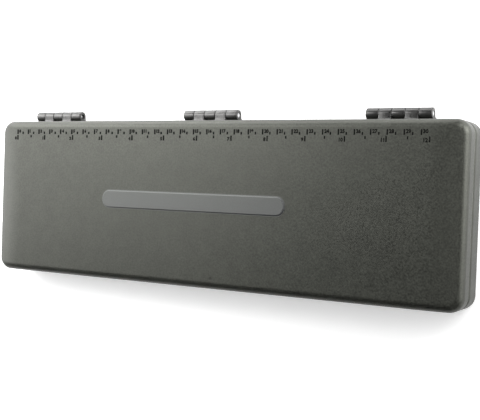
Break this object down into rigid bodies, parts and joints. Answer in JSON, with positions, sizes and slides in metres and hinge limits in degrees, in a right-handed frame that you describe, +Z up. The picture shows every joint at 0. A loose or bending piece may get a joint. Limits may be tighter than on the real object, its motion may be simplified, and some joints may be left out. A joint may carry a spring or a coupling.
{
  "type": "fishing rig box",
  "caption": "Flat two-part moulded box for tied fishing rigs, on pinned hinges, with a foam bed, hook rack and rig pins inside and a ruler on the lid.",
  "frame": {"origin": "centre of the base shell's flat underside, on the surface the closed box lies on", "axes": "+X along the length, +Y towards the hinges, +Z up through the closed lid"},
  "size_m": [0.344, 0.1143, 0.0308],
  "materials": {
    "shell_plastic": "dark olive-grey moulded plastic with a fine spark-eroded texture",
    "foam": "closed-cell EVA foam, dull black",
    "rack_plastic": "dark moulded plastic, slightly smooth",
    "pin_plastic": "green-grey moulded head on a bright steel needle",
    "screw_steel": "bright zinc-plated steel",
    "hinge_steel": "bright drawn steel",
    "magnet_steel": "nickel-plated magnet"
  },
  "bodies": {
    "base": {"base_shell": "shell_plastic", "foam_bed": "foam", "hook_rack": "rack_plastic", "rack_screw_front": "screw_steel", "rack_screw_back": "screw_steel", "hinge_pin_left": "hinge_steel", "hinge_pin_middle": "hinge_steel", "hinge_pin_right": "hinge_steel", "base_magnet_left": "magnet_steel", "base_magnet_middle": "magnet_steel", "base_magnet_right": "magnet_steel"},
    "lid": {"lid_shell": "shell_plastic", "lid_magnet_left": "magnet_steel", "lid_magnet_middle": "magnet_steel", "lid_magnet_right": "magnet_steel"},
    "rig_pin_01": {"rig_pin_01": "pin_plastic"},
    "rig_pin_02": {"rig_pin_02": "pin_plastic"},
    "rig_pin_03": {"rig_pin_03": "pin_plastic"},
    "rig_pin_04": {"rig_pin_04": "pin_plastic"},
    "rig_pin_05": {"rig_pin_05": "pin_plastic"},
    "rig_pin_06": {"rig_pin_06": "pin_plastic"},
    "rig_pin_07": {"rig_pin_07": "pin_plastic"},
    "rig_pin_08": {"rig_pin_08": "pin_plastic"},
    "rig_pin_09": {"rig_pin_09": "pin_plastic"},
    "rig_pin_10": {"rig_pin_10": "pin_plastic"},
    "rig_pin_11": {"rig_pin_11": "pin_plastic"},
    "rig_pin_12": {"rig_pin_12": "pin_plastic"},
    "rig_pin_13": {"rig_pin_13": "pin_plastic"},
    "rig_pin_14": {"rig_pin_14": "pin_plastic"},
    "rig_pin_15": {"rig_pin_15": "pin_plastic"},
    "rig_pin_16": {"rig_pin_16": "pin_plastic"},
    "rig_pin_17": {"rig_pin_17": "pin_plastic"},
    "rig_pin_18": {"rig_pin_18": "pin_plastic"},
    "rig_pin_19": {"rig_pin_19": "pin_plastic"},
    "rig_pin_20": {"rig_pin_20": "pin_plastic"}
  },
  "joints": [
    {"name": "lid_hinge", "type": "hinge", "parent": "base", "child": "lid", "pos_m": [0, 0.0573, 0.015], "axis": [-1, 0, 0], "range_deg": [0, 180]},
    {"name": "rig_pin_01_pull", "type": "slide", "parent": "base", "child": "rig_pin_01", "axis": [0, 0, 1], "range_m": [0, 0.0065]},
    {"name": "rig_pin_02_pull", "type": "slide", "parent": "base", "child": "rig_pin_02", "axis": [0, 0, 1], "range_m": [0, 0.0065]},
    {"name": "rig_pin_03_pull", "type": "slide", "parent": "base", "child": "rig_pin_03", "axis": [0, 0, 1], "range_m": [0, 0.0065]},
    {"name": "rig_pin_04_pull", "type": "slide", "parent": "base", "child": "rig_pin_04", "axis": [0, 0, 1], "range_m": [0, 0.0065]},
    {"name": "rig_pin_05_pull", "type": "slide", "parent": "base", "child": "rig_pin_05", "axis": [0, 0, 1], "range_m": [0, 0.0065]},
    {"name": "rig_pin_06_pull", "type": "slide", "parent": "base", "child": "rig_pin_06", "axis": [0, 0, 1], "range_m": [0, 0.0065]},
    {"name": "rig_pin_07_pull", "type": "slide", "parent": "base", "child": "rig_pin_07", "axis": [0, 0, 1], "range_m": [0, 0.0065]},
    {"name": "rig_pin_08_pull", "type": "slide", "parent": "base", "child": "rig_pin_08", "axis": [0, 0, 1], "range_m": [0, 0.0065]},
    {"name": "rig_pin_09_pull", "type": "slide", "parent": "base", "child": "rig_pin_09", "axis": [0, 0, 1], "range_m": [0, 0.0065]},
    {"name": "rig_pin_10_pull", "type": "slide", "parent": "base", "child": "rig_pin_10", "axis": [0, 0, 1], "range_m": [0, 0.0065]},
    {"name": "rig_pin_11_pull", "type": "slide", "parent": "base", "child": "rig_pin_11", "axis": [0, 0, 1], "range_m": [0, 0.0065]},
    {"name": "rig_pin_12_pull", "type": "slide", "parent": "base", "child": "rig_pin_12", "axis": [0, 0, 1], "range_m": [0, 0.0065]},
    {"name": "rig_pin_13_pull", "type": "slide", "parent": "base", "child": "rig_pin_13", "axis": [0, 0, 1], "range_m": [0, 0.0065]},
    {"name": "rig_pin_14_pull", "type": "slide", "parent": "base", "child": "rig_pin_14", "axis": [0, 0, 1], "range_m": [0, 0.0065]},
    {"name": "rig_pin_15_pull", "type": "slide", "parent": "base", "child": "rig_pin_15", "axis": [0, 0, 1], "range_m": [0, 0.0065]},
    {"name": "rig_pin_16_pull", "type": "slide", "parent": "base", "child": "rig_pin_16", "axis": [0, 0, 1], "range_m": [0, 0.0065]},
    {"name": "rig_pin_17_pull", "type": "slide", "parent": "base", "child": "rig_pin_17", "axis": [0, 0, 1], "range_m": [0, 0.0065]},
    {"name": "rig_pin_18_pull", "type": "slide", "parent": "base", "child": "rig_pin_18", "axis": [0, 0, 1], "range_m": [0, 0.0065]},
    {"name": "rig_pin_19_pull", "type": "slide", "parent": "base", "child": "rig_pin_19", "axis": [0, 0, 1], "range_m": [0, 0.0065]},
    {"name": "rig_pin_20_pull", "type": "slide", "parent": "base", "child": "rig_pin_20", "axis": [0, 0, 1], "range_m": [0, 0.0065]}
  ]
}
